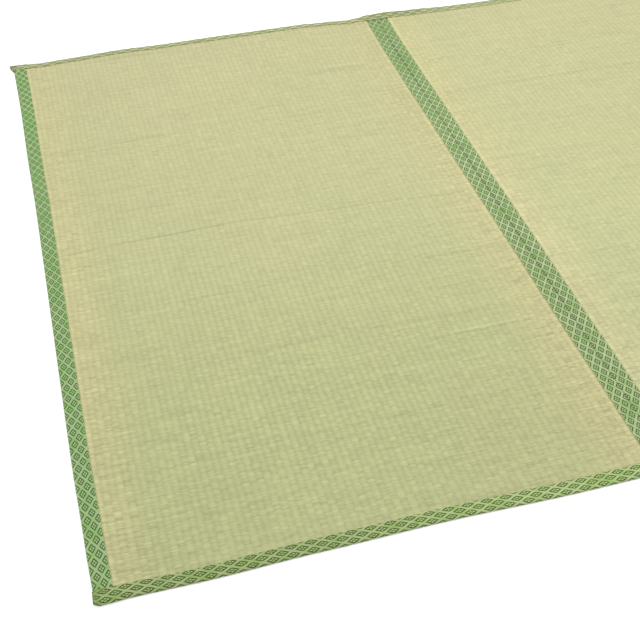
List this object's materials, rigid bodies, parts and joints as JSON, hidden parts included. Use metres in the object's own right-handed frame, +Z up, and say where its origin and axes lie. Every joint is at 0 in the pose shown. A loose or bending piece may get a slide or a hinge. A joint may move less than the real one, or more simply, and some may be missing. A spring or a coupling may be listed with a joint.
{
  "type": "rush grass carpet",
  "caption": "Flat woven rush carpet of two mats joined side by side, bound all round with folded patterned cloth tape, lying on the floor.",
  "frame": {"origin": "middle of the carpet's outline, on the surface it lies on", "axes": "+X across the ribs of the weave to the right mat, +Y along the ribs to the back edge, +Z up from the floor"},
  "size_m": [1.7867, 1.7667, 0.0148],
  "materials": {
    "rush": "dried woven rush, low sheen",
    "border_tape": "woven cloth tape, matt"
  },
  "bodies": {
    "root": {"rush_panel_left": "rush", "rush_panel_right": "rush", "side_binding_left": "border_tape", "side_binding_right": "border_tape", "joint_binding_left": "border_tape", "joint_binding_right": "border_tape", "end_binding_front": "border_tape", "end_binding_back": "border_tape"}
  },
  "joints": []
}
